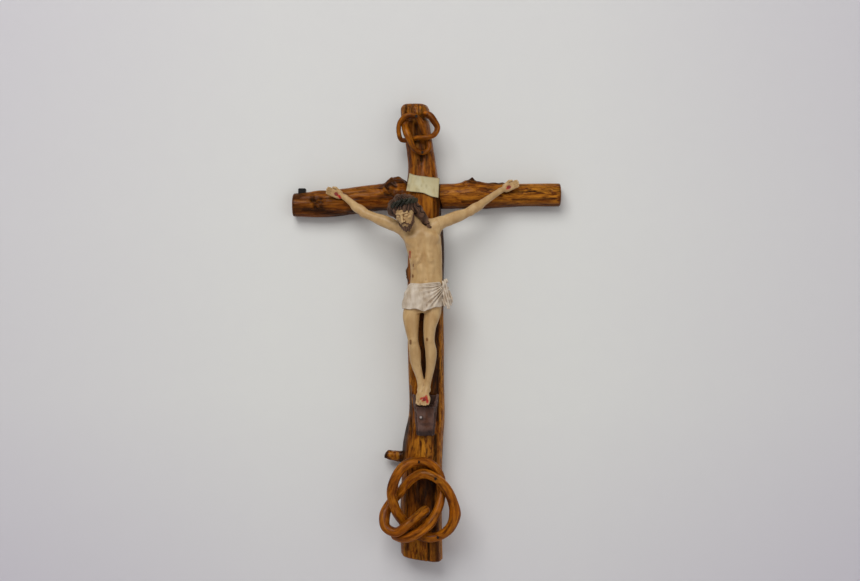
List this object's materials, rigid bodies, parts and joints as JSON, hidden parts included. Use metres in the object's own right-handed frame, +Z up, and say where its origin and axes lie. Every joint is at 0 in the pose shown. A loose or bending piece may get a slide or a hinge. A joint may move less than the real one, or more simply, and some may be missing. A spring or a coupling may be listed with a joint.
{
  "type": "wall crucifix",
  "caption": "Wall crucifix of branch wood with a painted cast figure, a scroll plate, a footrest, twisted vine knots and a recessed swinging hanger ring at the back.",
  "frame": {"origin": "middle of the crossing on the wall plane, on the planed back of the crossbeam", "axes": "+Z up along the upright, +Y into the wall, +X to the viewer's right"},
  "size_m": [0.212, 0.0609, 0.36],
  "materials": {
    "branch_wood": "varnished branch, bark off",
    "vine_wood": "varnished vine",
    "skin_paint": "painted cast resin, antiqued",
    "hair_paint": "painted cast resin, dark hair",
    "cloth_paint": "painted cast resin, off-white",
    "scroll_paint": "painted cast resin, parchment, bare",
    "footrest_paint": "painted cast resin, dark brown",
    "nail_iron": "dark iron",
    "stud_iron": "blackened iron",
    "screw_steel": "plain steel",
    "hanger_brass": "brassed steel"
  },
  "bodies": {
    "cross": {"upright": "branch_wood", "crossbeam": "branch_wood", "lap_screws": "screw_steel", "titulus": "scroll_paint", "corpus_body": "skin_paint", "corpus_head": "hair_paint", "neck_dowel": "screw_steel", "corpus_right_arm": "skin_paint", "corpus_left_arm": "skin_paint", "shoulder_dowels": "screw_steel", "loincloth": "cloth_paint", "hand_nails": "nail_iron", "foot_nail": "nail_iron", "footrest": "footrest_paint", "footrest_screw": "screw_steel", "top_vine": "vine_wood", "top_vine_brads": "nail_iron", "bottom_vine": "vine_wood", "bottom_vine_brads": "nail_iron", "square_stud": "stud_iron", "hanger_strap": "hanger_brass", "hanger_screws": "screw_steel"},
    "ring": {"hanger_ring": "hanger_brass"}
  },
  "joints": [
    {"name": "ring_swing", "type": "hinge", "parent": "cross", "child": "ring", "pos_m": [-0.0034, -0.00435, 0.036], "axis": [-1, 0, 0], "range_deg": [0, 150]}
  ]
}
